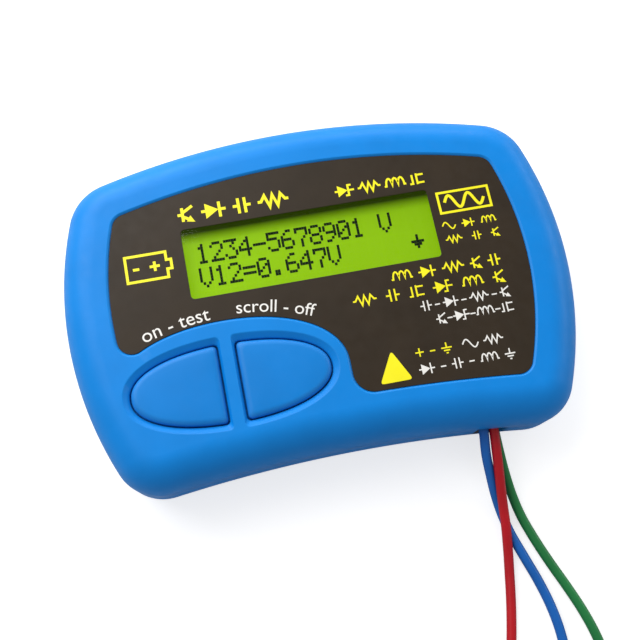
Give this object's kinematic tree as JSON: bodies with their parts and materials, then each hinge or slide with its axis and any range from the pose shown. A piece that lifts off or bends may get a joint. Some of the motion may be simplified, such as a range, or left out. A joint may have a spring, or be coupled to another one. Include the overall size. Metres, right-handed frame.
{
  "type": "component tester",
  "caption": "Pocket semiconductor component tester with a lit character display, push buttons and short leads ending in hook probes.",
  "frame": {"origin": "under the middle of the case, on the surface that it lies on", "axes": "+X along the case to the right of the display, +Y away from the user, +Z out of the face"},
  "size_m": [0.103, 0.1886, 0.02],
  "materials": {
    "case": "satin moulded blue",
    "buttons": "satin moulded blue",
    "label": "dark printed film, satin",
    "rear_label": "silver film",
    "window": "clear polished",
    "screw_steel": "zinc plated",
    "switch_plunger": "moulded",
    "black_plastic": "moulded",
    "sheet_steel": "bright pressed sheet",
    "dome_steel": "snap dome",
    "circuit_board": "green solder mask",
    "light_guide": "lit light guide",
    "display_cell": "lit yellow-green display",
    "contact_rubber": "conductive strip",
    "epoxy": "moulded epoxy",
    "white_plastic": "moulded",
    "gold_pins": "gold flash",
    "tinned_legs": "tinned",
    "crystal_can": "nickel",
    "ferrite": "ferrite",
    "capacitor_sleeve": "shrink sleeve",
    "ceramic": "fired",
    "resistor_body": "glazed",
    "cell_jacket": "shrink jacket",
    "nickel": "nickel plated",
    "grommet_rubber": "moulded",
    "solder": "bright",
    "red_lead": "flexible insulation",
    "red_probe": "moulded nylon",
    "green_lead": "flexible insulation",
    "green_probe": "moulded nylon",
    "blue_lead": "flexible insulation",
    "blue_probe": "moulded nylon",
    "hook_steel": "plated wire",
    "spring_steel": "spring wire"
  },
  "bodies": {
    "case": {"upper_case": "case", "lower_case": "case", "front_label": "label", "display_window": "window", "rear_label": "rear_label", "case_screws": "screw_steel", "switch_bodies": "black_plastic", "switch_covers": "sheet_steel", "left_switch_dome": "dome_steel", "right_switch_dome": "dome_steel", "display_board": "circuit_board", "display_backlight": "light_guide", "display_glass": "display_cell", "display_bezel": "sheet_steel", "contact_strips": "contact_rubber", "driver_blob": "epoxy", "display_spacers": "white_plastic", "header_strip": "black_plastic", "header_pins": "gold_pins", "main_board": "circuit_board", "controller_chip": "epoxy", "controller_legs": "tinned_legs", "crystal": "crystal_can", "inductor": "ferrite", "electrolytic_capacitor": "capacitor_sleeve", "ceramic_capacitors": "ceramic", "resistors": "resistor_body", "transistors": "epoxy", "battery_cell": "cell_jacket", "battery_holder": "black_plastic", "positive_contact": "nickel", "negative_contact": "nickel", "battery_spring": "nickel", "lead_grommet": "grommet_rubber", "lead_joints": "solder", "red_lead": "red_lead", "red_probe_core": "red_probe", "red_hook": "hook_steel", "red_probe_spring": "spring_steel", "green_lead": "green_lead", "green_probe_core": "green_probe", "green_hook": "hook_steel", "green_probe_spring": "spring_steel", "blue_lead": "blue_lead", "blue_probe_core": "blue_probe", "blue_hook": "hook_steel", "blue_probe_spring": "spring_steel"},
    "left_button": {"left_button": "buttons", "left_switch_plunger": "switch_plunger"},
    "right_button": {"right_button": "buttons", "right_switch_plunger": "switch_plunger"},
    "red_sleeve": {"red_sleeve": "red_probe"},
    "green_sleeve": {"green_sleeve": "green_probe"},
    "blue_sleeve": {"blue_sleeve": "blue_probe"}
  },
  "joints": [
    {"name": "left_button_press", "type": "slide", "parent": "case", "child": "left_button", "axis": [0, 0, -1], "range_m": [0, 0.0006], "stiffness_N_per_m": 2500, "springref_m": -0.0002, "deforming": ["left_switch_dome"]},
    {"name": "right_button_press", "type": "slide", "parent": "case", "child": "right_button", "axis": [0, 0, -1], "range_m": [0, 0.0006], "stiffness_N_per_m": 2500, "springref_m": -0.0002, "deforming": ["right_switch_dome"]},
    {"name": "red_sleeve_slide", "type": "slide", "parent": "case", "child": "red_sleeve", "axis": [0.2573, 0.9603, 0.108], "range_m": [0, 0.005], "stiffness_N_per_m": 150, "springref_m": -0.005, "deforming": ["red_probe_spring"]},
    {"name": "green_sleeve_slide", "type": "slide", "parent": "case", "child": "green_sleeve", "axis": [-0.0347, 0.9935, 0.108], "range_m": [0, 0.005], "stiffness_N_per_m": 150, "springref_m": -0.005, "deforming": ["green_probe_spring"]},
    {"name": "blue_sleeve_slide", "type": "slide", "parent": "case", "child": "blue_sleeve", "axis": [0.052, 0.9928, 0.108], "range_m": [0, 0.005], "stiffness_N_per_m": 150, "springref_m": -0.005, "deforming": ["blue_probe_spring"]}
  ]
}
